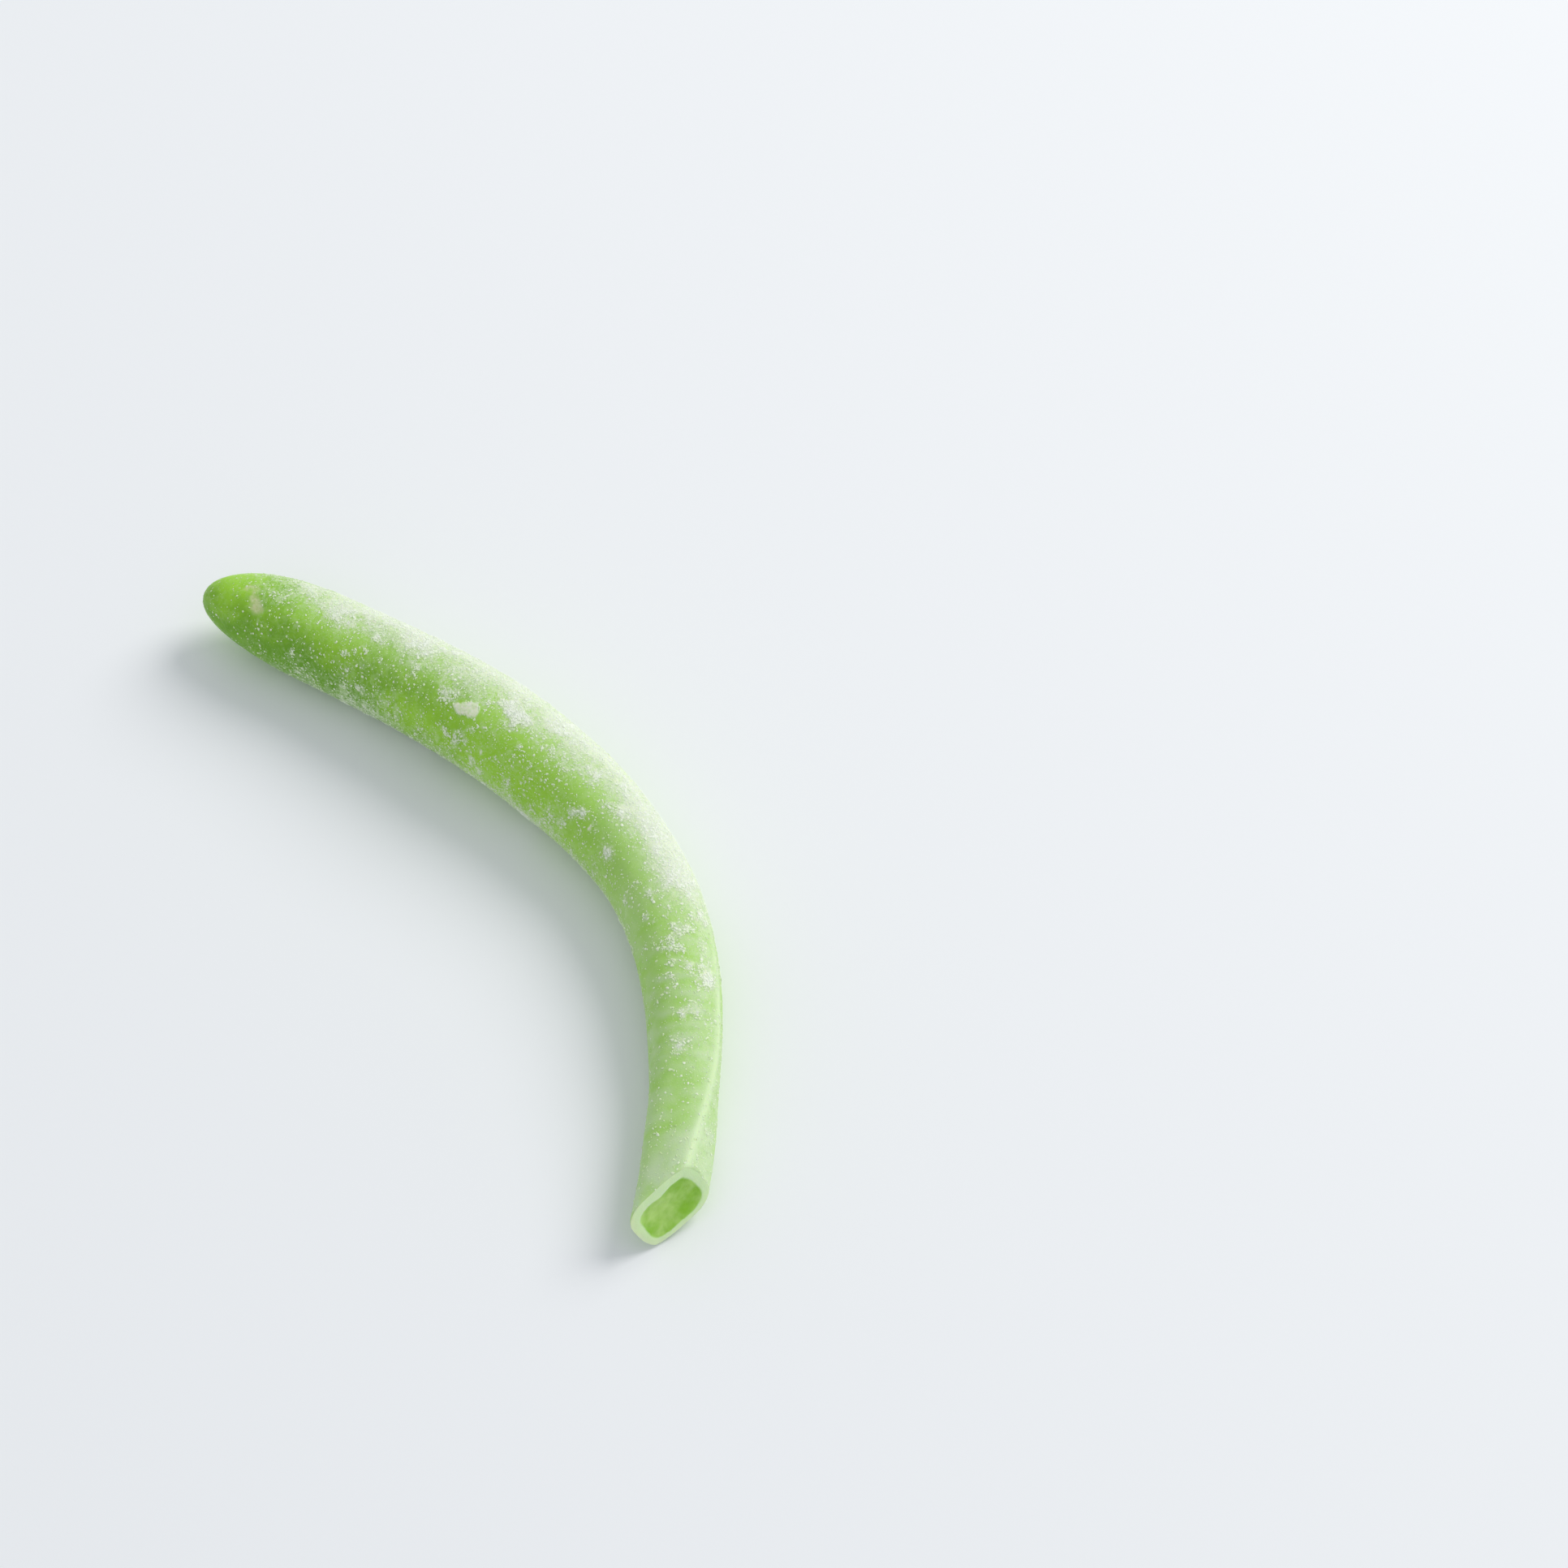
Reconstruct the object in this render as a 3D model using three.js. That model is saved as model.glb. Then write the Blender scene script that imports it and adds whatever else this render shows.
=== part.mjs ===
// A picked green bean pod, trimmed at its stem end and lying on its side. Millimetres, +Z up.
// +X runs from the rounded tip to the cut end, and the pod bows out towards +Y.
import * as THREE from "three";
import * as BufferGeometryUtils from "three/addons/utils/BufferGeometryUtils.js";

const rad = THREE.MathUtils.degToRad;

// The centreline, measured along its own length from the tip
const LENGTH = 79.5; // to the middle of the cut
const EVEN_BEND = rad(31); // spread evenly over the whole length
const FIRM_BEND = rad(42); // the firmer bend of the bow
const FIRM_BEND_AT = 50;
const FIRM_BEND_SPREAD = 12.5;
const TIP_BEND = rad(11); // the tip droops a little to the inside of the bow
const TIP_BEND_LENGTH = 14;

// The pod's diameter at places along the centreline
const DIAMETERS = [
  [0, 7.6],
  [10, 8.0],
  [20, 8.35],
  [29, 8.6],
  [38, 8.4],
  [47, 7.45],
  [58, 6.7],
  [69, 5.95],
  [80, 5.4],
];
const TIP_LENGTH = 11; // the rounded tip
const TIP_BLUNTNESS = 2.15; // 2 is an ellipse, more is blunter

// The section: slightly deeper across the two seams, with small ridges on them
const OVAL = 0.012;
const SQUARENESS = 0.018; // towards four rounded corners, the seams among them
const SQUARENESS_AT_CUT = 0.07;
const SQUARER_FROM = 60;
const RIDGE_HEIGHT = 0.13;
const RIDGE_WIDTH = 0.55;
const SEAM_FLAT_DEPTH = 0.16; // the flatter strip that each ridge stands on
const SEAM_FLAT_WIDTH = 1.3;

// The seams lie on the inside and the outside of the bow, and turn upwards near the cut
const SEAM_ANGLE = rad(30); // of the outer seam, above the level, along most of the pod
const SEAM_ANGLE_AT_CUT = rad(72);
const SEAM_TURN_FROM = 64;

// Seeds swell the two cheeks between the seams
const SEED_SPACING = 10.5;
const FIRST_SEED = 9;
const SEED_SWELL = 0.1;
const SEED_HALF_LENGTH = 3.6;

// The knife cut, whose face turns to the outside of the bow and a little upwards
const CUT_YAW = rad(39);
const CUT_PITCH = rad(21);
const WALL = 0.6; // the firm outer wall, which stands proud round the sunken flesh
const WALL_UNEVEN = 0.25; // thicker by this on its thick side, thinner by it opposite
const WALL_THICK_AT = rad(125); // above the level on the bow's outside
const FLESH_SINK = 0.3;
const CUT_SHEAR_LENGTH = 16; // the stretch over which the rings of the mesh turn parallel to the cut

// The pod rests on three low spots, pressed flat
const FIRST_SPOT = 12;
const SPOT_SPACING = 29;
const LIFT_BETWEEN = 0.35;
const PRESSED = 0.08;

// The mesh
const SIDES = 40;
const TIP_RINGS = 8;
const BODY_RINGS = 54;
const FACE_RINGS = [0.93, 0.8, 0.55, 0.28]; // rings on the cut face, as shares of its radius

// How finely the curves are sampled before they are read between their points
const STEP = 0.25;
const RADIUS_POINTS = 400;
const SECTION_POINTS = 72;
const HALVINGS = 30;
const CUT_REACH = 8; // more than the cut reaches along the pod to either side of its middle

// The centreline's bow in plan, as points a small step apart that start at the tip
const bowPoints = [];
const bowHeadings = [];
let bowX = 0;
let bowY = 0;
for (let s = 0; s <= LENGTH + STEP / 2; s += STEP) {
  const firm = (1 + Math.tanh((s - FIRM_BEND_AT) / FIRM_BEND_SPREAD)) / 2;
  const tip = Math.max(0, 1 - s / TIP_BEND_LENGTH) ** 2;
  const heading = -EVEN_BEND * (s / LENGTH) - FIRM_BEND * firm + TIP_BEND * tip;
  bowPoints.push(new THREE.Vector2(bowX, bowY));
  bowHeadings.push(heading);
  bowX += Math.cos(heading) * STEP;
  bowY += Math.sin(heading) * STEP;
}
// Turned so that the chord from tip to cut lies along +X
const chordTurn = -bowPoints.at(-1).angle();

const radiusRows = DIAMETERS.map(([s, diameter]) => new THREE.Vector2(s, diameter / 2));
const RADIUS_SAMPLES = new THREE.SplineCurve(radiusRows).getPoints(RADIUS_POINTS);

// A value between the rows of a table that is ordered by its x
function between(rows, x) {
  const next = rows.findIndex((row) => row.x >= x);
  if (next < 0) return rows.at(-1).y;
  if (next === 0) return rows[0].y;
  const share = (x - rows[next - 1].x) / (rows[next].x - rows[next - 1].x);
  return THREE.MathUtils.lerp(rows[next - 1].y, rows[next].y, share);
}

// The pod's radius at s before its tip is rounded off
const fullRadius = (s) => between(RADIUS_SAMPLES, s);

// How much of that radius is left at s, where the tip rounds off
function tipShare(s) {
  if (s >= TIP_LENGTH) return 1;
  return (1 - (1 - s / TIP_LENGTH) ** TIP_BLUNTNESS) ** (1 / TIP_BLUNTNESS);
}

function seamAngle(s) {
  const turn = THREE.MathUtils.smoothstep(s, SEAM_TURN_FROM, LENGTH);
  return THREE.MathUtils.lerp(SEAM_ANGLE, SEAM_ANGLE_AT_CUT, turn);
}

const bump = (distance, width) => Math.exp(-((distance / width) ** 2));

// How far the surface lies from the centreline, at s and at an angle from the outer seam
function sectionRadius(s, fromSeam) {
  const radius = fullRadius(s);
  const seamDistance = radius * Math.abs(Math.asin(Math.sin(fromSeam)));
  const ridge = RIDGE_HEIGHT * bump(seamDistance, RIDGE_WIDTH);
  const flat = SEAM_FLAT_DEPTH * bump(seamDistance, SEAM_FLAT_WIDTH);
  const nearestSeed = FIRST_SEED + SEED_SPACING * Math.max(0, Math.round((s - FIRST_SEED) / SEED_SPACING));
  const seed = SEED_SWELL * bump(s - nearestSeed, SEED_HALF_LENGTH) * Math.sin(fromSeam) ** 2;
  const cutShare = THREE.MathUtils.smoothstep(s, SQUARER_FROM, LENGTH);
  const squareness = THREE.MathUtils.lerp(SQUARENESS, SQUARENESS_AT_CUT, cutShare);
  const section = 1 + OVAL * Math.cos(2 * fromSeam) + squareness * Math.cos(4 * fromSeam);
  return (radius * section + ridge - flat + seed) * tipShare(s);
}

// The lowest reach of the section below the centreline, before the tip is rounded off
function depthBelow(s) {
  let depth = 0;
  for (let side = 0; side < SECTION_POINTS; side += 1) {
    const angle = (side / SECTION_POINTS) * 2 * Math.PI;
    const reach = sectionRadius(Math.max(s, TIP_LENGTH), angle - seamAngle(s)) * -Math.sin(angle);
    depth = Math.max(depth, reach);
  }
  return depth;
}
const DEPTH_SAMPLES = [];
for (let s = 0; s <= LENGTH + CUT_REACH; s += STEP) {
  DEPTH_SAMPLES.push(new THREE.Vector2(s, depthBelow(s)));
}

// Place and directions of the centreline at s: forward along it, out to the bow's outside, and up
function stationAt(s) {
  const index = THREE.MathUtils.clamp(s / STEP, 0, bowPoints.length - 1);
  const low = Math.min(Math.floor(index), bowPoints.length - 2);
  const share = index - low;
  const plan = bowPoints[low].clone().lerp(bowPoints[low + 1], share);
  const heading = THREE.MathUtils.lerp(bowHeadings[low], bowHeadings[low + 1], share);
  const beyond = s - THREE.MathUtils.clamp(s, 0, (bowPoints.length - 1) * STEP);
  plan.x += Math.cos(heading) * beyond;
  plan.y += Math.sin(heading) * beyond;
  plan.rotateAround(new THREE.Vector2(), chordTurn);
  const lift = LIFT_BETWEEN * Math.sin((Math.PI * (s - FIRST_SPOT)) / SPOT_SPACING) ** 2;
  const turned = heading + chordTurn;
  return {
    centre: new THREE.Vector3(plan.x, plan.y, between(DEPTH_SAMPLES, s) + lift - PRESSED),
    forward: new THREE.Vector3(Math.cos(turned), Math.sin(turned), 0),
    outward: new THREE.Vector3(-Math.sin(turned), Math.cos(turned), 0),
    up: new THREE.Vector3(0, 0, 1),
  };
}

// A point of the skin at s, at an angle above the level on the bow's outside
function skinPoint(s, angle) {
  const { centre, outward, up } = stationAt(s);
  const radius = sectionRadius(s, angle - seamAngle(s));
  centre.addScaledVector(outward, radius * Math.cos(angle));
  return centre.addScaledVector(up, radius * Math.sin(angle));
}

// The plane of the cut
const cutStation = stationAt(LENGTH);
const cutNormal = cutStation.forward
  .clone()
  .multiplyScalar(Math.cos(CUT_YAW))
  .addScaledVector(cutStation.outward, Math.sin(CUT_YAW))
  .multiplyScalar(Math.cos(CUT_PITCH))
  .addScaledVector(cutStation.up, Math.sin(CUT_PITCH))
  .normalize();
const heightOverCut = (point) => point.clone().sub(cutStation.centre).dot(cutNormal);

// Where the skin's line at this angle from the outer seam meets the cut, found by halving
function cutReach(fromSeam) {
  let low = LENGTH - CUT_REACH;
  let high = LENGTH + CUT_REACH;
  for (let pass = 0; pass < HALVINGS; pass += 1) {
    const middle = (low + high) / 2;
    if (heightOverCut(skinPoint(middle, fromSeam + seamAngle(middle))) > 0) high = middle;
    else low = middle;
  }
  return low;
}

// The pod as a lathe form: its profile runs from the tip over the rim and in to the face's middle.
// Its height holds the ring's number, and its radius the share of the way out to the skin.
const profile = [new THREE.Vector2(0, 0)];
const lastSkinRing = TIP_RINGS + BODY_RINGS;
for (let ring = 1; ring <= lastSkinRing; ring += 1) profile.push(new THREE.Vector2(1, ring));
for (const share of FACE_RINGS) profile.push(new THREE.Vector2(share, lastSkinRing + 1));
profile.push(new THREE.Vector2(0, lastSkinRing + 1));

// Distance along the pod of a ring, closer together where the tip rounds off
function ringPlace(ring) {
  if (ring <= TIP_RINGS) return TIP_LENGTH * (1 - Math.cos((Math.PI / 2) * (ring / TIP_RINGS)));
  return THREE.MathUtils.lerp(TIP_LENGTH, LENGTH, (ring - TIP_RINGS) / BODY_RINGS);
}

// Depth of the cut face below the plane of the cut, at a share of the way out to the skin
function faceSink(share, edgeDistance, angle) {
  const wall = WALL + WALL_UNEVEN * Math.cos(angle - WALL_THICK_AT);
  const fleshEdge = 1 - wall / edgeDistance;
  return share >= fleshEdge ? 0 : FLESH_SINK * (1 - (share / fleshEdge) ** 2);
}

const faceMiddle = cutStation.centre.clone();

function podGeometry() {
  const lathe = new THREE.LatheGeometry(profile, SIDES);
  lathe.deleteAttribute("normal");
  lathe.deleteAttribute("uv");
  const place = lathe.getAttribute("position");
  const reaches = new Map();
  for (let i = 0; i < place.count; i += 1) {
    const column = Math.floor(i / profile.length) % SIDES;
    const { x: share, y: ring } = profile[i % profile.length];
    const fromSeam = (column / SIDES) * 2 * Math.PI;
    if (!reaches.has(column)) reaches.set(column, cutReach(fromSeam));
    const reach = reaches.get(column);
    let point;
    if (ring <= lastSkinRing) {
      const level = ringPlace(ring);
      const shear = THREE.MathUtils.smoothstep(level, LENGTH - CUT_SHEAR_LENGTH, LENGTH);
      const s = level + shear * (reach - LENGTH);
      point = skinPoint(s, fromSeam + seamAngle(s));
    } else {
      const angle = fromSeam + seamAngle(reach);
      const rim = skinPoint(reach, angle);
      const sink = faceSink(share, rim.distanceTo(faceMiddle), angle);
      point = faceMiddle.clone().lerp(rim, share).addScaledVector(cutNormal, -sink);
    }
    place.setXYZ(i, point.x, point.y, Math.max(point.z, 0));
  }
  return place;
}

// The lathe's faces without those that have no area at its two ends, over shared vertices
function closed(place) {
  const lathe = new THREE.LatheGeometry(profile, SIDES);
  const loose = new THREE.BufferGeometry();
  loose.setAttribute("position", place);
  loose.setIndex(lathe.index);
  const merged = BufferGeometryUtils.mergeVertices(loose, 1e-5);
  const corners = merged.index.array;
  const kept = [];
  for (let i = 0; i < corners.length; i += 3) {
    const [a, b, c] = [corners[i], corners[i + 1], corners[i + 2]];
    if (a !== b && b !== c && c !== a) kept.push(a, b, c);
  }
  merged.setIndex(kept);
  merged.computeVertexNormals();
  return merged;
}

const geometry = closed(podGeometry());
geometry.computeBoundingBox();
const middle = geometry.boundingBox.getCenter(new THREE.Vector3());

const podSkin = new THREE.MeshStandardMaterial({ color: 0x86ba4c, roughness: 0.5, metalness: 0 });
const bean = new THREE.Mesh(geometry, podSkin);
bean.name = "green_bean";
// The origin is under the middle of the pod's box, on the surface that it lies on
bean.position.set(-middle.x, -middle.y, 0);

const part = new THREE.Group();
part.add(bean);
export default part;
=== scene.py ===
"""A frosted green bean pod, trimmed at its stem end and lying on its side.

The pod is built again here by the same formulas as its solid, finer, with its relief, skin, cut face and
frost. The shape is worked out in millimetres from the pod's tip and is turned into metres where the
meshes are made.
"""

import itertools
import math

import bmesh
import bpy
import numpy as np
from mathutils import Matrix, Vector


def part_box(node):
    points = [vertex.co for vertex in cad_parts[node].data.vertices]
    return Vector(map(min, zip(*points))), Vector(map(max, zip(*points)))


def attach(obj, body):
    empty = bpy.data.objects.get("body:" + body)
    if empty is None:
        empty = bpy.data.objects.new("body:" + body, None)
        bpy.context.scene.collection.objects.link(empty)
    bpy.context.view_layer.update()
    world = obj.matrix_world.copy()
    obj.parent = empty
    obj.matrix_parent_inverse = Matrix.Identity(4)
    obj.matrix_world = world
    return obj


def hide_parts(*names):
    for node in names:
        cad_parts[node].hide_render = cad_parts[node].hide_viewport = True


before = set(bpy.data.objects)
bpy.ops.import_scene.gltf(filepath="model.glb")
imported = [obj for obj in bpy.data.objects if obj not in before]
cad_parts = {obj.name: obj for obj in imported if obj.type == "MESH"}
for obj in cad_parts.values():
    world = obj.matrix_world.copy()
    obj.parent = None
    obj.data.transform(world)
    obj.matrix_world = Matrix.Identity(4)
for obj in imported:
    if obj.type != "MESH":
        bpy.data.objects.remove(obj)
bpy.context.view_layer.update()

MM = 0.001
rad = math.radians

# The pod's driving dimensions, in millimetres along the centreline from the tip
LENGTH = 79.5
EVEN_BEND = rad(31)
FIRM_BEND = rad(42)
FIRM_BEND_AT = 50
FIRM_BEND_SPREAD = 12.5
TIP_BEND = rad(11)
TIP_BEND_LENGTH = 14
DIAMETERS = [  # place along the pod, thickness there
    (0, 7.6), (10, 8.0), (20, 8.35), (29, 8.6), (38, 8.4), (47, 7.45), (58, 6.7), (69, 5.95), (80, 5.4),
]
TIP_LENGTH = 11
TIP_BLUNTNESS = 2.15

# The section and what swells it
OVAL = 0.012
SQUARENESS = 0.018
SQUARENESS_AT_CUT = 0.07
SQUARER_FROM = 60
RIDGE_HEIGHT = 0.13
RIDGE_WIDTH = 0.55
SEAM_FLAT_DEPTH = 0.16
SEAM_FLAT_WIDTH = 1.3
SEAM_ANGLE = rad(30)
SEAM_ANGLE_AT_CUT = rad(72)
SEAM_TURN_FROM = 64
SEED_SPACING = 10.5
FIRST_SEED = 9
SEED_SWELL = 0.1
SEED_HALF_LENGTH = 3.6

# The cut and the three low spots
CUT_YAW = rad(39)
CUT_PITCH = rad(21)
CUT_REACH = 8
WALL = 0.6
WALL_UNEVEN = 0.25
WALL_THICK_AT = rad(125)
FLESH_SINK = 0.3
CUT_SHEAR_LENGTH = 16
FIRST_SPOT = 12
SPOT_SPACING = 29
LIFT_BETWEEN = 0.35
PRESSED = 0.08

# The skin lies this far inside the solid, which leaves room for the frost
FROST_ROOM = 0.08

# The fine mesh, and how finely its curves are worked out
SIDES = 200
TIP_RINGS = 60
BODY_RINGS = 380
FACE_RINGS = 26
FACE_RING_CROWDING = 1.25
STEP = 0.25
DIAMETER_POINTS = 401
DEPTH_SIDES = 72
CUT_HALVINGS = 30

# The camera: its target is the point of the floor at the middle of the frame
CAMERA_AZIMUTH = rad(55)
CAMERA_ELEVATION = rad(55)
CAMERA_DISTANCE = 312
CAMERA_TARGET = (42.3, 31.2)
CAMERA_LENS = 85
SENSOR = 36
CLIP_START = 0.01

# The floor and the light, in metres and watts. The window's direction goes right, away from the camera and up
FLOOR_SIZE = 4
KEY_RIGHT = 0.8
KEY_AWAY = 0.6
KEY_UP = 0.8
KEY_DISTANCE = 1.1
KEY_SIZE = 0.7
KEY_POWER = 7.2
KEY_COLOUR = (1, 0.985, 0.94)
ROOM_COLOUR = (0.93, 0.96, 1, 1)
ROOM_STRENGTH = 0.6


def smooth(x, low, high):
    """0 below low, 1 above high and an even S between."""
    t = np.clip((x - low) / (high - low), 0, 1)
    return t * t * (3 - 2 * t)


def bump(distance, width):
    """1 at no distance, about a third at the width and nothing far from it."""
    return np.exp(-((distance / width) ** 2))


def corner_value(x, y, z, seed):
    """A repeatable value from 0 to 1 for each corner of a lattice, mixed by large primes."""
    mixed = (x * 73856093) ^ (y * 19349663) ^ (z * 83492791) ^ (seed * 982451653)
    mixed = ((mixed ^ (mixed >> 13)) * 1274126177) & 0xFFFFFFFF
    return ((mixed ^ (mixed >> 15)) & 0xFFFF) / 65535


def noise(points, size, seed):
    """Smooth noise from 0 to 1, with lumps about size across."""
    scaled = points / size
    corner = np.floor(scaled).astype(np.int64)
    share = scaled - corner
    share = share * share * (3 - 2 * share)
    total = np.zeros(points.shape[:-1])
    for step in itertools.product((0, 1), repeat=3):
        weight = np.ones(points.shape[:-1])
        for axis in range(3):
            weight *= share[..., axis] if step[axis] else 1 - share[..., axis]
        total += weight * corner_value(*(corner[..., axis] + step[axis] for axis in range(3)), seed)
    return total


def layered(points, size, seed, layers=3):
    """Noise with ever finer and fainter layers, from 0 to 1."""
    total, weight = 0, 0
    for layer in range(layers):
        total = total + noise(points, size / 2**layer, seed + 31 * layer) / 2**layer
        weight += 1 / 2**layer
    return total / weight


# The centreline's bow in plan
line_s = np.arange(0, LENGTH + STEP / 2, STEP)
line_heading = (
    -EVEN_BEND * line_s / LENGTH
    - FIRM_BEND * (1 + np.tanh((line_s - FIRM_BEND_AT) / FIRM_BEND_SPREAD)) / 2
    + TIP_BEND * np.clip(1 - line_s / TIP_BEND_LENGTH, 0, 1) ** 2
)
line_x = np.append(0, np.cumsum(np.cos(line_heading[:-1]) * STEP))
line_y = np.append(0, np.cumsum(np.sin(line_heading[:-1]) * STEP))
chord_turn = -math.atan2(line_y[-1], line_x[-1])
line_heading = line_heading + chord_turn
line_x, line_y = (
    line_x * math.cos(chord_turn) - line_y * math.sin(chord_turn),
    line_x * math.sin(chord_turn) + line_y * math.cos(chord_turn),
)


def spline(rows, count):
    """Points of a smooth curve through the rows, with even steps of its parameter between them."""
    rows = np.array(rows, float)
    last = len(rows) - 1
    t = np.linspace(0, last, count)
    i = np.minimum(t.astype(int), last - 1)
    w = (t - i)[:, None]
    before, start, end, after = (rows[np.clip(i + step, 0, last)] for step in (-1, 0, 1, 2))
    leave, arrive = (end - before) / 2, (after - start) / 2
    curve = (2 * start - 2 * end + leave + arrive) * w**3
    return curve + (-3 * start + 3 * end - 2 * leave - arrive) * w**2 + leave * w + start


diameter_rows = spline(DIAMETERS, DIAMETER_POINTS)


def full_radius(s):
    """Half the pod's thickness, without the rounding of the tip."""
    return np.interp(s, diameter_rows[:, 0], diameter_rows[:, 1] / 2)


def tip_share(s):
    """How much of its full radius the pod has: less than 1 over the rounded tip."""
    return (1 - np.clip(1 - s / TIP_LENGTH, 0, 1) ** TIP_BLUNTNESS) ** (1 / TIP_BLUNTNESS)


def seam_angle(s):
    """The outer seam's angle above the level, which turns towards the cut."""
    return SEAM_ANGLE + (SEAM_ANGLE_AT_CUT - SEAM_ANGLE) * smooth(s, SEAM_TURN_FROM, LENGTH)


def seam_distance(s, from_seam):
    """How far along the skin the nearer seam is."""
    return full_radius(s) * np.abs(np.arcsin(np.sin(from_seam)))


def section_radius(s, from_seam):
    """How far the surface lies from the centreline, at an angle from the outer seam."""
    distance = seam_distance(s, from_seam)
    seam = RIDGE_HEIGHT * bump(distance, RIDGE_WIDTH) - SEAM_FLAT_DEPTH * bump(distance, SEAM_FLAT_WIDTH)
    nearest_seed = FIRST_SEED + SEED_SPACING * np.maximum(0, np.round((s - FIRST_SEED) / SEED_SPACING))
    seed = SEED_SWELL * bump(s - nearest_seed, SEED_HALF_LENGTH) * np.sin(from_seam) ** 2
    squareness = SQUARENESS + (SQUARENESS_AT_CUT - SQUARENESS) * smooth(s, SQUARER_FROM, LENGTH)
    section = 1 + OVAL * np.cos(2 * from_seam) + squareness * np.cos(4 * from_seam)
    return (full_radius(s) * section + seam + seed) * tip_share(s)


# How far the section reaches below the centreline, along the pod
depth_s = np.arange(0, LENGTH + CUT_REACH, STEP)
depth_angles = np.linspace(0, 2 * math.pi, DEPTH_SIDES, endpoint=False)[None, :]
depth_from_seam = depth_angles - seam_angle(depth_s)[:, None]
depth_reach = section_radius(np.maximum(depth_s, TIP_LENGTH)[:, None], depth_from_seam)
depth_rows = (depth_reach * -np.sin(depth_angles)).max(axis=1)


def stations(s):
    """The centreline's points at s, and the directions to the outside of the bow."""
    heading = np.interp(s, line_s, line_heading)
    beyond = np.maximum(s - line_s[-1], 0)
    x = np.interp(s, line_s, line_x) + np.cos(heading) * beyond
    y = np.interp(s, line_s, line_y) + np.sin(heading) * beyond
    lift = LIFT_BETWEEN * np.sin(math.pi * (s - FIRST_SPOT) / SPOT_SPACING) ** 2
    centre = np.stack([x, y, np.interp(s, depth_s, depth_rows) + lift - PRESSED], -1)
    return centre, np.stack([-np.sin(heading), np.cos(heading), 0 * heading], -1)


def skin_points(s, from_seam, inset):
    """Points of the skin at s, at an angle from the outer seam, inside the solid's surface by the inset."""
    angle = from_seam + seam_angle(s)
    centre, outward = stations(s)
    radius = section_radius(s, from_seam) - inset * tip_share(s)
    points = centre + outward * (radius * np.cos(angle))[..., None]
    points[..., 2] += radius * np.sin(angle) - inset
    return points


cut_centre, cut_outward = stations(np.array(LENGTH))
cut_forward = np.array([cut_outward[1], -cut_outward[0], 0])
cut_normal = math.cos(CUT_PITCH) * (math.cos(CUT_YAW) * cut_forward + math.sin(CUT_YAW) * cut_outward)
cut_normal = cut_normal + np.array([0, 0, math.sin(CUT_PITCH)])


def pod_grid(inset):
    """The skin's points, a row to each ring from tip to cut, and each point's s and angle from the seam."""
    from_seam = np.linspace(0, 2 * math.pi, SIDES, endpoint=False)
    low, high = np.full(SIDES, LENGTH - CUT_REACH), np.full(SIDES, LENGTH + CUT_REACH)
    for _ in range(CUT_HALVINGS):
        middle = (low + high) / 2
        past = (skin_points(middle, from_seam, inset) - cut_centre) @ cut_normal > 0
        low, high = np.where(past, low, middle), np.where(past, middle, high)
    tip = TIP_LENGTH * (1 - np.cos(math.pi / 2 * np.arange(1, TIP_RINGS + 1) / TIP_RINGS))
    body = TIP_LENGTH + (LENGTH - TIP_LENGTH) * np.arange(1, BODY_RINGS + 1) / BODY_RINGS
    level = np.append(tip, body)[:, None]
    s = level + smooth(level, LENGTH - CUT_SHEAR_LENGTH, LENGTH) * (low - LENGTH)[None, :]
    return skin_points(s, from_seam[None, :] + 0 * s, inset), s, from_seam[None, :] + 0 * s


def grid_normals(points):
    """Directions out of the skin, for a grid whose columns close on themselves."""
    along = np.gradient(points, axis=0)
    around = np.roll(points, -1, axis=1) - np.roll(points, 1, axis=1)
    normal = np.cross(around, along)
    return normal / np.linalg.norm(normal, axis=-1, keepdims=True)


# From the tip's own frame to the row's: the box of the plain form has its middle over the origin
plain_points = pod_grid(0)[0]
tip_point = stations(np.array(0.0))[0]
plain_low = np.minimum(plain_points.min(axis=(0, 1)), tip_point)
plain_high = np.maximum(plain_points.max(axis=(0, 1)), tip_point)
box_low, box_high = (np.array(corner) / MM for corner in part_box("green_bean"))
to_row = (box_low + box_high) / 2 - (plain_low + plain_high) / 2
to_row[2] = 0

pod_points, pod_s, pod_seam = pod_grid(FROST_ROOM)
pod_normals = grid_normals(pod_points)
# The skin's direction, as an angle above the level on the outside of the bow
level_angle = np.arctan2(pod_normals[..., 2], (pod_normals * stations(pod_s)[1]).sum(-1))

# Stretches along the pod over which a look fades in or out
BARE_TIP = (2, 16)
SINGLES_START = (3, 14)
SHOULDER_HAZE_STARTS = (1, 19)
SHOULDER_HAZE_ENDS = (46, 62)
BEND_HAZE_STARTS = (36, 56)
CUT_HAZE_STARTS = (64, 74)
FROST_THINS = (44, 64)
CLUSTERS_THIN = (54, 68)
SEAM_BARES = (48, 60)
SEAM_SHOWS = (54, 64)
SEAM_STARTS = (3, 8)
SKIN_LIGHTENS = (16, 34)
# Where the painted shade on the inner side of the bow fades out
PAINTED_SHADE_ENDS = (34, 58)
WRINKLES_START = (50, 60)
WRINKLES_END = (73, 78)
RIM_HAZE = (6, 1)  # before the rim

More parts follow.
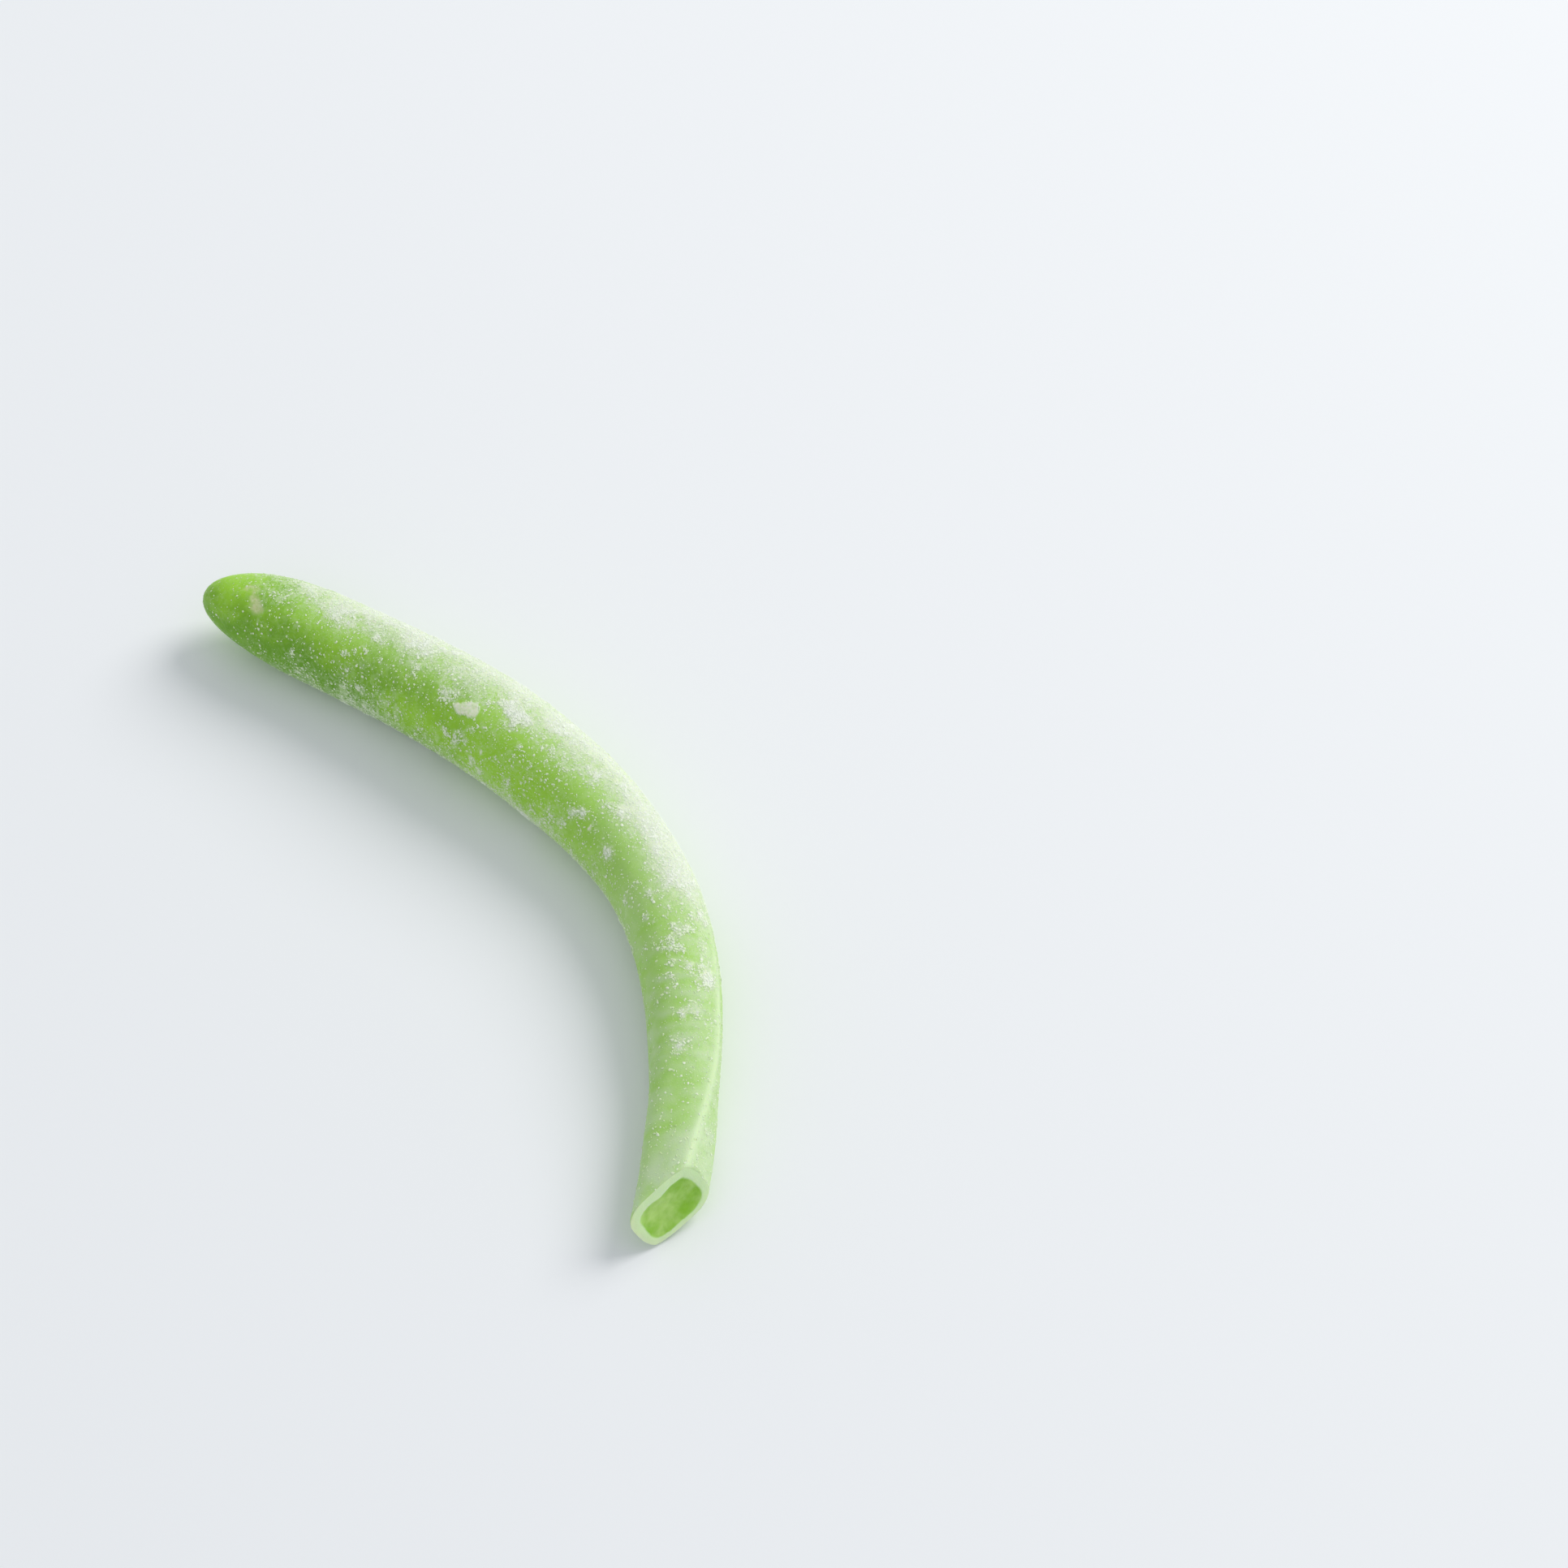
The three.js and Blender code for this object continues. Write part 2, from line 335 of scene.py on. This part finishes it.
# Frost film, from 0 to 1: thickest along the outer shoulder, thin on the upper side and towards the cut
FROST_BANDS = [(50, 34, 0.84), (10, 30, 0.44), (195, 34, 0.18), (270, 60, 0.3)]  # angle, width, thickness
FROST_BASE = 0.1
FLAKE = (28.5, 112, 1.1)  # place along the pod, angle above the level, radius, as in the lists below
SCAR_LOBES = [(4.9, 93, 1.0), (6.0, 116, 0.85)]
FROST_CLUMPS = [
    (12.6, 78, 1.0), (14.2, 90, 0.7), (20.5, 66, 1.1), (26.0, 111, 0.8), (31.4, 80, 0.8), (35.5, 58, 1.4),
    (40.7, 82, 0.6), (42.0, 131, 0.5), (42.7, 122, 0.5), (44.5, 84, 0.7), (46.5, 48, 1.5), (46.9, 131, 0.7),
    (48.9, 73, 0.5), (51.4, 67, 1.3), (52.6, 106, 0.4), (54.4, 124, 0.4), (58.2, 97, 0.5), (58.4, 84, 0.4),
    (59.9, 77, 0.5), (60.8, 48, 0.9), (63.5, 75, 0.6), (64.0, 91, 0.4), (66.6, 101, 0.7),
]


def turned(angle, middle):
    """How far an angle is from another, either way round."""
    return np.abs(np.angle(np.exp(1j * (angle - middle))))


def spot(s, angle, radius):
    """A round spot on the skin: 1 in its middle, fading out at its radius."""
    across = turned(pod_seam + seam_angle(pod_s), rad(angle)) * full_radius(pod_s)
    return bump(np.hypot(pod_s - s, across), radius)


flake = smooth(spot(*FLAKE) + 1.6 * (layered(pod_points, 1.1, seed=26) - 0.5), 0.52, 0.58)
lobes = 0.7 * spot(*SCAR_LOBES[0]) + spot(*SCAR_LOBES[1])
scar = smooth(lobes + 1.1 * (layered(pod_points, 0.8, seed=27) - 0.5), 0.35, 0.85)
broad = layered(pod_points, 6, seed=11, layers=2)
patches = layered(pod_points, 1.7, seed=12)
patchy = (0.7 + 0.6 * smooth(broad, 0.25, 0.75)) * (0.6 + 0.8 * smooth(patches, 0.25, 0.75))
frost = FROST_BASE * patchy
for angle, width, thickness in FROST_BANDS:
    band = bump(turned(level_angle, rad(angle)), rad(width)) * smooth(pod_s, *BARE_TIP)
    frost = frost + thickness * band * (0.5 + 0.5 * patchy)
frost = frost * (1 - 0.8 * smooth(pod_s, *FROST_THINS))
clumps = sum(spot(s, angle, radius) for s, angle, radius in FROST_CLUMPS)
clumps = clumps * (0.3 + 0.7 * smooth(layered(pod_points, 0.7, seed=13), 0.35, 0.6))
frost = frost + 0.6 * clumps
on_seam = bump(seam_distance(pod_s, pod_seam), RIDGE_WIDTH)
frost = frost * (1 - (0.12 + 0.43 * smooth(pod_s, *SEAM_BARES)) * on_seam)
crowded = 0.25 + 0.75 * smooth(layered(pod_points, 4, seed=16), 0.3, 0.7)
cluster = smooth(layered(pod_points, 0.95, seed=15), 0.6, 0.78) * crowded
cluster = cluster * (0.25 + frost) * smooth(pod_s, *BARE_TIP) * (1 - 0.7 * smooth(pod_s, *CLUSTERS_THIN))
cluster = (cluster + 0.2 * clumps) * (1 - flake)
frost = np.clip(frost + 0.9 * cluster, 0, 1) * (1 - 0.9 * flake)

# Fine wrinkles across the pod, over the stretch before the cut
WRINKLE_SPACING = 1.25
WRINKLE_WANDER = 1.3
wrinkle_s = pod_s + WRINKLE_WANDER * noise(pod_points, 2.8, seed=21)
before_cut = smooth(pod_s, *WRINKLES_START) * (1 - smooth(pod_s, *WRINKLES_END))
wrinkled = before_cut * smooth(noise(pod_points, 2.6, seed=22), 0.3, 0.6)
wrinkled = wrinkled * bump(turned(level_angle, rad(90)), rad(62))
wrinkles = np.sin(wrinkle_s * 2 * math.pi / WRINKLE_SPACING) * wrinkled


def stretched(along, around):
    """Places for noise that is drawn out along or around the pod."""
    return np.stack([pod_s / along, around * np.cos(pod_seam), around * np.sin(pod_seam)], -1)


# Haze: smooth, thin and even, on the shoulder and over the whole stretch towards the cut
streaks = layered(stretched(0.75, 2.5), 1, seed=14, layers=2)
shoulder = bump(turned(level_angle, rad(36)), rad(56)) * smooth(pod_s, *SHOULDER_HAZE_STARTS)
shoulder = shoulder * (1 - 0.75 * smooth(pod_s, *SHOULDER_HAZE_ENDS))
haze = 0.04 + 0.68 * shoulder
haze = haze + (0.36 + 0.3 * (broad - 0.5)) * smooth(pod_s, *BEND_HAZE_STARTS)
haze = haze + 0.14 * smooth(pod_s, *CUT_HAZE_STARTS)
haze = haze + 0.8 * (streaks - 0.5) * before_cut + 0.1 * wrinkles
by_cut = smooth(pod_s, pod_s[-1] - RIM_HAZE[0], pod_s[-1] - RIM_HAZE[1])
by_cut = by_cut * bump(turned(level_angle, rad(95)), rad(60))
haze = haze + 0.5 * by_cut * smooth(patches, 0.3, 0.6)
haze = np.clip(haze * (0.75 + 0.5 * patches), 0, 1)

# Relief of the skin, in millimetres
WRINKLE_HEIGHT = 0.014
SEAM_HEIGHT = 0.07
FIBRE_HEIGHT = 0.02
LUMP_HEIGHT = 0.16
CRUST_HEIGHT = 0.1
CLUSTER_HEIGHT = 0.05
FLAKE_HEIGHT = 0.07
SCAR_DEPTH = 0.05
EDGE_ROUNDING = 0.05
fibres = layered(stretched(8, 4), 1.4, seed=23)
lumps = layered(pod_points, 8, seed=24, layers=2) - 0.5
crust = layered(pod_points, 0.5, seed=25) - 0.35
seam_near_cut = bump(seam_distance(pod_s, pod_seam), 0.45) * smooth(pod_s, *SEAM_SHOWS)
relief = WRINKLE_HEIGHT * wrinkles + SEAM_HEIGHT * seam_near_cut
relief = relief + FIBRE_HEIGHT * (fibres - 0.5) + LUMP_HEIGHT * lumps + CRUST_HEIGHT * crust * frost
relief = relief + CLUSTER_HEIGHT * cluster + FLAKE_HEIGHT * flake - SCAR_DEPTH * scar
relief = relief * tip_share(pod_s)
relief[-1] = -EDGE_ROUNDING
pod_points = pod_points + pod_normals * relief[..., None]
pod_points[..., 2] = np.maximum(pod_points[..., 2], 0)
pod_normals = grid_normals(pod_points)

# The cut face: rings from the rim to the middle
FLESH_GRAIN = 0.16
WALL_GRAIN = 0.05
face_shares = 1 - (np.arange(1, FACE_RINGS) / FACE_RINGS) ** FACE_RING_CROWDING
rim = pod_points[-1]
rim_distance = np.linalg.norm(rim - cut_centre, axis=-1)
wall = WALL + WALL_UNEVEN * np.cos(pod_seam[-1] + seam_angle(pod_s[-1]) - WALL_THICK_AT)
flesh_edge = (1 - wall * (0.92 + 0.16 * noise(rim, 1.6, seed=31)) / rim_distance)[None, :]
shares = face_shares[:, None] + 0 * flesh_edge
face_points = cut_centre + (rim - cut_centre)[None, :, :] * shares[..., None]
in_flesh = smooth(flesh_edge - shares, -0.04, 0.12)
sink = FLESH_SINK * np.where(shares < flesh_edge, 1 - (shares / flesh_edge) ** 2, 0)
grainy = layered(face_points, 0.55, seed=32) - 0.5
face_relief = -sink + in_flesh * FLESH_GRAIN * grainy + (1 - in_flesh) * WALL_GRAIN * grainy
face_points = face_points + cut_normal * face_relief[..., None]
face_middle = cut_centre - cut_normal * FLESH_SINK


def place(name, data):
    """A new object in the scene."""
    thing = bpy.data.objects.new(name, data)
    bpy.context.scene.collection.objects.link(thing)
    return thing


def paint(mesh, name, values):
    """Gives each vertex a value that a material reads by this name."""
    mesh.attributes.new(name, "FLOAT", "POINT").data.foreach_set("value", values.astype(np.float32))


def pod_mesh():
    """The whole pod as one closed mesh: tip, skin, cut face."""
    rings = np.concatenate([pod_points, face_points])
    count = len(rings)
    vertices = np.concatenate([tip_point[None, :], rings.reshape(-1, 3), face_middle[None, :]])
    side = np.arange(SIDES)
    after = (side + 1) % SIDES
    faces = [(0, 1 + b, 1 + a) for a, b in zip(side.tolist(), after.tolist())]
    ring = 1 + SIDES * np.arange(count - 1)[:, None]
    quads = np.stack([ring + side, ring + after, ring + SIDES + after, ring + SIDES + side], -1)
    faces += quads.reshape(-1, 4).tolist()
    last = 1 + SIDES * (count - 1)
    end = len(vertices) - 1
    faces += [(last + a, last + b, end) for a, b in zip(side.tolist(), after.tolist())]
    mesh = bpy.data.meshes.new("green_bean_pod")
    vertices = np.clip(vertices + to_row, box_low, box_high) * MM
    mesh.from_pydata(vertices.tolist(), [], faces)
    skin_faces = SIDES + SIDES * (len(pod_points) - 1)
    materials = np.zeros(len(faces), np.int32)
    materials[skin_faces:] = 1
    mesh.polygons.foreach_set("material_index", materials)
    mesh.polygons.foreach_set("use_smooth", np.ones(len(faces), bool))

    none = 0 * shares
    seam = bump(seam_distance(pod_s, pod_seam), 0.5)
    seam = seam * (0.4 * smooth(pod_s, *SEAM_STARTS) + 0.6 * smooth(pod_s, *SEAM_SHOWS))
    # Painted shade: the skin is made darker on the inner side of the bow over the tip half, where little
    # light falls
    painted_inner_shade = bump(turned(level_angle, rad(172)), rad(52)) * (1 - smooth(pod_s, *PAINTED_SHADE_ENDS))
    tone = 0.8 * layered(pod_points, 6, seed=41) + 0.2 * fibres + 0.24 * smooth(pod_s, *SKIN_LIGHTENS)
    tone = tone - 0.15 * painted_inner_shade
    looks = [  # name, then its values at the tip, on the skin, on the cut face and in the face's middle
        ("frost_film", 0, frost, none, 0),
        ("haze", 0, haze, none, 0),
        ("seam_line", 0, seam, none, 0),
        ("skin_tone_and_painted_shade", 0, tone, none + 0.5, 0),
        ("along", 0, np.clip(pod_s / LENGTH, 0, 1), none + 1, 1),
        ("flesh", 0, 0 * frost, in_flesh, 1),
        ("flake", 0, flake, none, 0),
        ("scar", 0, scar, none, 0),
    ]
    for name, at_tip, on_skin, on_face, in_middle in looks:
        paint(mesh, name, np.concatenate([[at_tip], on_skin.ravel(), on_face.ravel(), [in_middle]]))
    mesh.validate()
    mesh.update()
    return mesh


class Nodes:
    """A material's node tree, with short calls for the nodes used here."""

    def __init__(self, name):
        self.material = bpy.data.materials.new(name)
        self.material.use_nodes = True
        self.tree = self.material.node_tree
        self.tree.nodes.clear()
        self.shader = self.add("ShaderNodeBsdfPrincipled")
        output = self.add("ShaderNodeOutputMaterial")
        self.join(self.shader.outputs[0], output.inputs["Surface"])
        self.coordinates = self.add("ShaderNodeTexCoord").outputs["Object"]

    def add(self, kind, **settings):
        node = self.tree.nodes.new(kind)
        for key, value in settings.items():
            setattr(node, key, value)
        return node

    def join(self, start, end):
        self.tree.links.new(start, end)

    def put(self, value, socket):
        """Joins an output to a socket, or sets the socket to a plain value."""
        if isinstance(value, bpy.types.NodeSocket):
            self.join(value, socket)
        else:
            socket.default_value = value

    def attribute(self, name):
        return self.add("ShaderNodeAttribute", attribute_name=name).outputs["Fac"]

    def settle(self, values):
        """Sets the shader's own sockets to values that are the same all over."""
        for name, value in values.items():
            self.shader.inputs[name].default_value = value

    def math(self, operation, *values):
        node = self.add("ShaderNodeMath", operation=operation)
        for value, socket in zip(values, node.inputs):
            self.put(value, socket)
        return node.outputs[0]

    def range(self, value, low, high, out_low=0.0, out_high=1.0):
        """Turns low to high into out_low to out_high, with an even S between."""
        node = self.add("ShaderNodeMapRange", interpolation_type="SMOOTHSTEP")
        for item, socket in zip((value, low, high, out_low, out_high), node.inputs):
            self.put(item, socket)
        return node.outputs[0]

    def noise(self, size, detail=3.0, roughness=0.55, distortion=0.0):
        """Noise with lumps about this many millimetres across."""
        node = self.add("ShaderNodeTexNoise")
        self.join(self.coordinates, node.inputs["Vector"])
        node.inputs["Scale"].default_value = 1 / (size * MM)
        node.inputs["Detail"].default_value = detail
        node.inputs["Roughness"].default_value = roughness
        node.inputs["Distortion"].default_value = distortion
        return node.outputs["Fac"]

    def uneven(self, value, amount, *grain):
        """The value with noise of this grain added, half up and half down."""
        change = self.math("SUBTRACT", self.noise(*grain), 0.5)
        return self.math("ADD", value, self.math("MULTIPLY", change, amount))

    def mottled(self, name, low, high):
        """A painted value, made fainter in small spots: between low and high of itself."""
        return self.math("MULTIPLY", self.attribute(name), self.range(self.noise(0.3), 0.3, 0.7, low, high))

    def cells(self, size):
        """Distances from the middles of cells about this many millimetres across."""
        node = self.add("ShaderNodeTexVoronoi")
        self.join(self.coordinates, node.inputs["Vector"])
        node.inputs["Scale"].default_value = 1 / (size * MM)
        return node.outputs["Distance"]

    def mix(self, share, first, second):
        """The first colour where the share is 0, the second where it is 1."""
        node = self.add("ShaderNodeMix", data_type="RGBA")
        self.put(share, node.inputs[0])
        self.put(first, node.inputs[6])
        self.put(second, node.inputs[7])
        return node.outputs[2]

    def bump(self, height, distance, strength, under=None):
        """Small relief, this many millimetres high, over another that lies under it."""
        node = self.add("ShaderNodeBump")
        node.inputs["Strength"].default_value = strength
        node.inputs["Distance"].default_value = distance * MM
        self.join(height, node.inputs["Height"])
        if under is not None:
            self.join(under, node.inputs["Normal"])
        return node.outputs[0]


def srgb(red, green, blue):
    """A colour given as it looks on a screen, 0 to 255, as linear light with full alpha."""
    shown = [value / 255 for value in (red, green, blue)]
    return (*(c / 12.92 if c <= 0.04045 else ((c + 0.055) / 1.055) ** 2.4 for c in shown), 1.0)


DEEP_GREEN = srgb(108, 166, 14)
BRIGHT_GREEN = srgb(160, 216, 48)
PALE_GREEN = srgb(156, 208, 90)
HAZE_GREEN = srgb(200, 224, 176)
SEAM_PALE = srgb(216, 238, 192)
FROST_WHITE = srgb(238, 245, 230)
FILM_WHITE = srgb(234, 246, 216)
MOTTLE_GREEN = srgb(206, 232, 176)
WALL_PALE = srgb(218, 244, 190)
FLESH_DEEP = srgb(142, 200, 44)
FLESH_BRIGHT = srgb(188, 226, 122)
FLAKE_CREAM = srgb(240, 244, 222)
SCAR_CREAM = srgb(214, 220, 168)
FROST_CLEAR = srgb(208, 234, 166)
FLOOR_PALE = srgb(245, 247, 250)
GLOW = {"Subsurface Radius": (0.75, 1.0, 0.35), "Subsurface Scale": MM}


def skin_material():
    """Green in several tones, with painted shade on the inner side of the bow over the tip half, then haze,
    seam, scar and flake, and on top half thawed and white frost.
    """
    n = Nodes("frosted_pod_skin")
    # The skin's tone holds its random tone and the painted shade on the inner side of the bow
    tone = n.uneven(n.attribute("skin_tone_and_painted_shade"), 0.3, 0.9)
    green = n.mix(n.range(tone, 0.25, 0.75), DEEP_GREEN, BRIGHT_GREEN)
    green = n.mix(n.range(n.attribute("along"), 0.4, 0.9, 0.0, 0.5), green, PALE_GREEN)
    green = n.mix(n.attribute("haze"), green, HAZE_GREEN)
    green = n.mix(n.math("MULTIPLY", n.attribute("seam_line"), 0.85), green, SEAM_PALE)
    green = n.mix(n.mottled("scar", 0.55, 0.95), green, SCAR_CREAM)
    green = n.mix(n.mottled("flake", 0.6, 1.0), green, FLAKE_CREAM)
    film = n.attribute("frost_film")
    mottle = n.range(n.noise(0.62, 3.0, 0.6, 1.2), 0.46, 0.62)
    thawed = n.math("MULTIPLY", mottle, n.range(film, 0.0, 0.45, 0.05, 0.6))
    green = n.mix(thawed, green, MOTTLE_GREEN)
    cover = n.range(n.uneven(film, 1.7, 0.3, 4.0, 0.75), 0.14, 1.0, 0.0, 0.93)
    n.join(n.mix(cover, green, FILM_WHITE), n.shader.inputs["Base Color"])
    n.join(n.range(cover, 0.0, 0.7, 0.4, 0.85), n.shader.inputs["Roughness"])
    grain = n.bump(n.noise(0.14, 3.0, 0.7), 0.04, 0.5)
    crust = n.bump(n.math("MULTIPLY", n.noise(0.3, 4.0, 0.7), cover), 0.1, 0.6, grain)
    n.join(crust, n.shader.inputs["Normal"])
    n.settle({**GLOW, "Subsurface Weight": 0.4, "Specular IOR Level": 0.15})
    return n.material


def cut_material():
    """A pale wall with a ragged inner edge round brighter, glossier flesh."""
    n = Nodes("moist_cut_flesh")
    flesh = n.range(n.uneven(n.attribute("flesh"), 0.6, 0.6), 0.2, 0.8)
    green = n.mix(n.range(n.noise(2.4, 3.0), 0.35, 0.65), FLESH_DEEP, FLESH_BRIGHT)
    n.join(n.mix(flesh, WALL_PALE, green), n.shader.inputs["Base Color"])
    n.join(n.range(flesh, 0.0, 1.0, 0.5, 0.28), n.shader.inputs["Roughness"])
    n.join(n.bump(n.cells(0.13), 0.02, 0.5), n.shader.inputs["Normal"])
    n.settle({**GLOW, "Subsurface Weight": 0.5, "Specular IOR Level": 0.4})
    return n.material


def frost_material():
    """White crystals, greener where they are clear and the skin shows through them."""
    n = Nodes("frost_crystals")
    n.join(n.mix(n.attribute("clear"), FROST_WHITE, FROST_CLEAR), n.shader.inputs["Base Color"])
    n.join(n.range(n.noise(0.1), 0.3, 0.7, 0.45, 0.75), n.shader.inputs["Roughness"])
    n.settle({"Specular IOR Level": 0.35})
    return n.material


def octahedron():
    """Corners and triangles of a crystal for dust."""
    corners = np.concatenate([np.eye(3), -np.eye(3)])
    faces = [(0, 1, 2), (1, 3, 2), (3, 4, 2), (4, 0, 2), (1, 0, 5), (3, 1, 5), (4, 3, 5), (0, 4, 5)]
    return corners, np.array(faces)


def lump():
    """Corners and triangles of a rounder crystal for grains."""
    form = bmesh.new()
    bmesh.ops.create_icosphere(form, subdivisions=1, radius=1)
    form.verts.index_update()
    corners = np.array([vertex.co[:] for vertex in form.verts])
    faces = np.array([[vertex.index for vertex in face.verts] for face in form.faces])
    form.free()
    return corners, faces


CLEARNESS = (0.25, 1.0)
CRYSTAL_UNEVEN = 0.5
CRYSTAL_LEAN = 0.6
NARROWEST = 0.4
FLOOR_CLEARANCE = 0.3
rng = np.random.default_rng(5)
off_floor = smooth(pod_points[..., 2], FLOOR_CLEARANCE, 2 * FLOOR_CLEARANCE)
singles = 0.3 + 0.7 * smooth(pod_s, *SINGLES_START)  # single crystals on bare skin, fewer at the tip
frost_white = frost_material()


def scattered(density, count):
    """Places on the skin, more where the density is high: points, directions out and the film there."""
    along = np.linalg.norm(np.diff(pod_points, axis=0), axis=-1)
    around = np.linalg.norm(np.roll(pod_points, -1, axis=1) - pod_points, axis=-1)[:-1]
    weight = along * around * density[:-1]
    picked = rng.choice(weight.size, size=count, p=(weight / weight.sum()).ravel())
    ring, side = np.divmod(picked, SIDES)
    down, across = rng.random((count, 1)), rng.random((count, 1))
    beside = (side + 1) % SIDES

    def blend(grid):
        near = grid[ring, side] * (1 - across) + grid[ring, beside] * across
        far = grid[ring + 1, side] * (1 - across) + grid[ring + 1, beside] * across
        return near * (1 - down) + far * down

    normals = blend(pod_normals)
    normals = normals / np.linalg.norm(normals, axis=-1, keepdims=True)
    return blend(pod_points), normals, blend(frost[..., None])[:, 0]


def crystals(name, form, density, count, width, more_width, height, sunk):
    """One piece of many closed crystals.

    They are width to width + more_width millimetres across, and most are small. The height is a share of
    the width, and what is sunk in the skin a share of the height.
    """
    corners, faces = form
    points, normals, film = scattered(density, count)
    widths = width + more_width * rng.random(count) ** 2
    heights = widths * height
    clear = (1 - film) * rng.uniform(*CLEARNESS, count)
    across = rng.normal(size=(count, 3))
    across -= normals * (across * normals).sum(-1, keepdims=True)
    across /= np.linalg.norm(across, axis=-1, keepdims=True)
    beside = np.cross(normals, across)
    shape = corners[None] * (1 + CRYSTAL_UNEVEN * (rng.random((count, len(corners), 1)) - 0.5))
    shape = shape + CRYSTAL_UNEVEN * (rng.random((count, len(corners), 3)) - 0.5)
    lean = CRYSTAL_LEAN * (rng.random((count, 1, 2)) - 0.5)
    wide, high = widths[:, None, None], heights[:, None, None]
    x = shape[..., 0:1] * wide / 2 + lean[..., 0:1] * shape[..., 2:3] * high
    y = shape[..., 1:2] * wide * rng.uniform(NARROWEST, 1.0, (count, 1, 1)) / 2
    z = (shape[..., 2:3] * 0.5 + 0.5 - sunk) * high
    vertices = points[:, None] + x * across[:, None] + y * beside[:, None] + z * normals[:, None]
    vertices = np.clip((vertices + to_row).reshape(-1, 3), box_low, box_high)
    triangles = (faces[None] + len(corners) * np.arange(count)[:, None, None]).reshape(-1, 3)
    mesh = bpy.data.meshes.new(name)
    mesh.from_pydata((vertices * MM).tolist(), [], triangles.tolist())
    paint(mesh, "clear", np.repeat(clear, len(corners)))
    mesh.materials.append(frost_white)
    mesh.update()
    piece = place(name, mesh)
    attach(piece, "root")


pod = place("green_bean_pod", pod_mesh())
pod.data.materials.append(skin_material())
pod.data.materials.append(cut_material())
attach(pod, "root")
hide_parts("green_bean")

# Dust: the finest crystals, wherever there is film
dust_density = (0.045 * singles + frost**1.5) * off_floor
crystals(
    "frost_dust", octahedron(), dust_density,
    count=24000, width=0.08, more_width=0.17, height=0.5, sunk=0.5,
)

# Grains: coarser crystals, most of them in the clusters
grain_density = (0.022 * singles + 0.25 * frost**1.5 + 2.5 * cluster) * off_floor
crystals(
    "frost_grains", lump(), grain_density,
    count=9900, width=0.09, more_width=0.21, height=0.32, sunk=0.4,
)

# The floor
bpy.ops.mesh.primitive_plane_add(size=FLOOR_SIZE)
floor = bpy.context.object
floor.name = "floor"
floor_nodes = Nodes("pale_floor")
floor_nodes.settle({"Base Color": FLOOR_PALE, "Roughness": 0.7, "Specular IOR Level": 0.1})
floor.data.materials.append(floor_nodes.material)

# The camera, turned and raised about its target
to_camera = Vector((
    math.sin(CAMERA_AZIMUTH) * math.cos(CAMERA_ELEVATION),
    -math.cos(CAMERA_AZIMUTH) * math.cos(CAMERA_ELEVATION),
    math.sin(CAMERA_ELEVATION),
))
target = Vector((CAMERA_TARGET[0] + to_row[0], CAMERA_TARGET[1] + to_row[1], 0)) * MM
camera = place("camera", bpy.data.cameras.new("camera"))
camera.location = target + to_camera * CAMERA_DISTANCE * MM
camera.rotation_euler = (-to_camera).to_track_quat("-Z", "Y").to_euler()
camera.data.lens = CAMERA_LENS
camera.data.sensor_width = SENSOR
camera.data.clip_start = CLIP_START
bpy.context.scene.camera = camera

# Soft light: a window high up on the camera's right and behind the pod, and an even pale room
right = Vector((math.cos(CAMERA_AZIMUTH), math.sin(CAMERA_AZIMUTH), 0))
away = Vector((-math.sin(CAMERA_AZIMUTH), math.cos(CAMERA_AZIMUTH), 0))
to_key = right * KEY_RIGHT + away * KEY_AWAY + Vector((0, 0, KEY_UP))
light = bpy.data.lights.new("key_window", "AREA")
light.shape = "DISK"
light.size = KEY_SIZE
light.energy = KEY_POWER
light.color = KEY_COLOUR
lamp = place("key_window", light)
lamp.location = to_key.normalized() * KEY_DISTANCE
lamp.rotation_euler = to_key.to_track_quat("Z", "Y").to_euler()
world = bpy.data.worlds.new("room")
world.use_nodes = True
background = world.node_tree.nodes["Background"].inputs
background["Color"].default_value = ROOM_COLOUR
background["Strength"].default_value = ROOM_STRENGTH
bpy.context.scene.world = world
bpy.context.scene.view_settings.view_transform = "Standard"
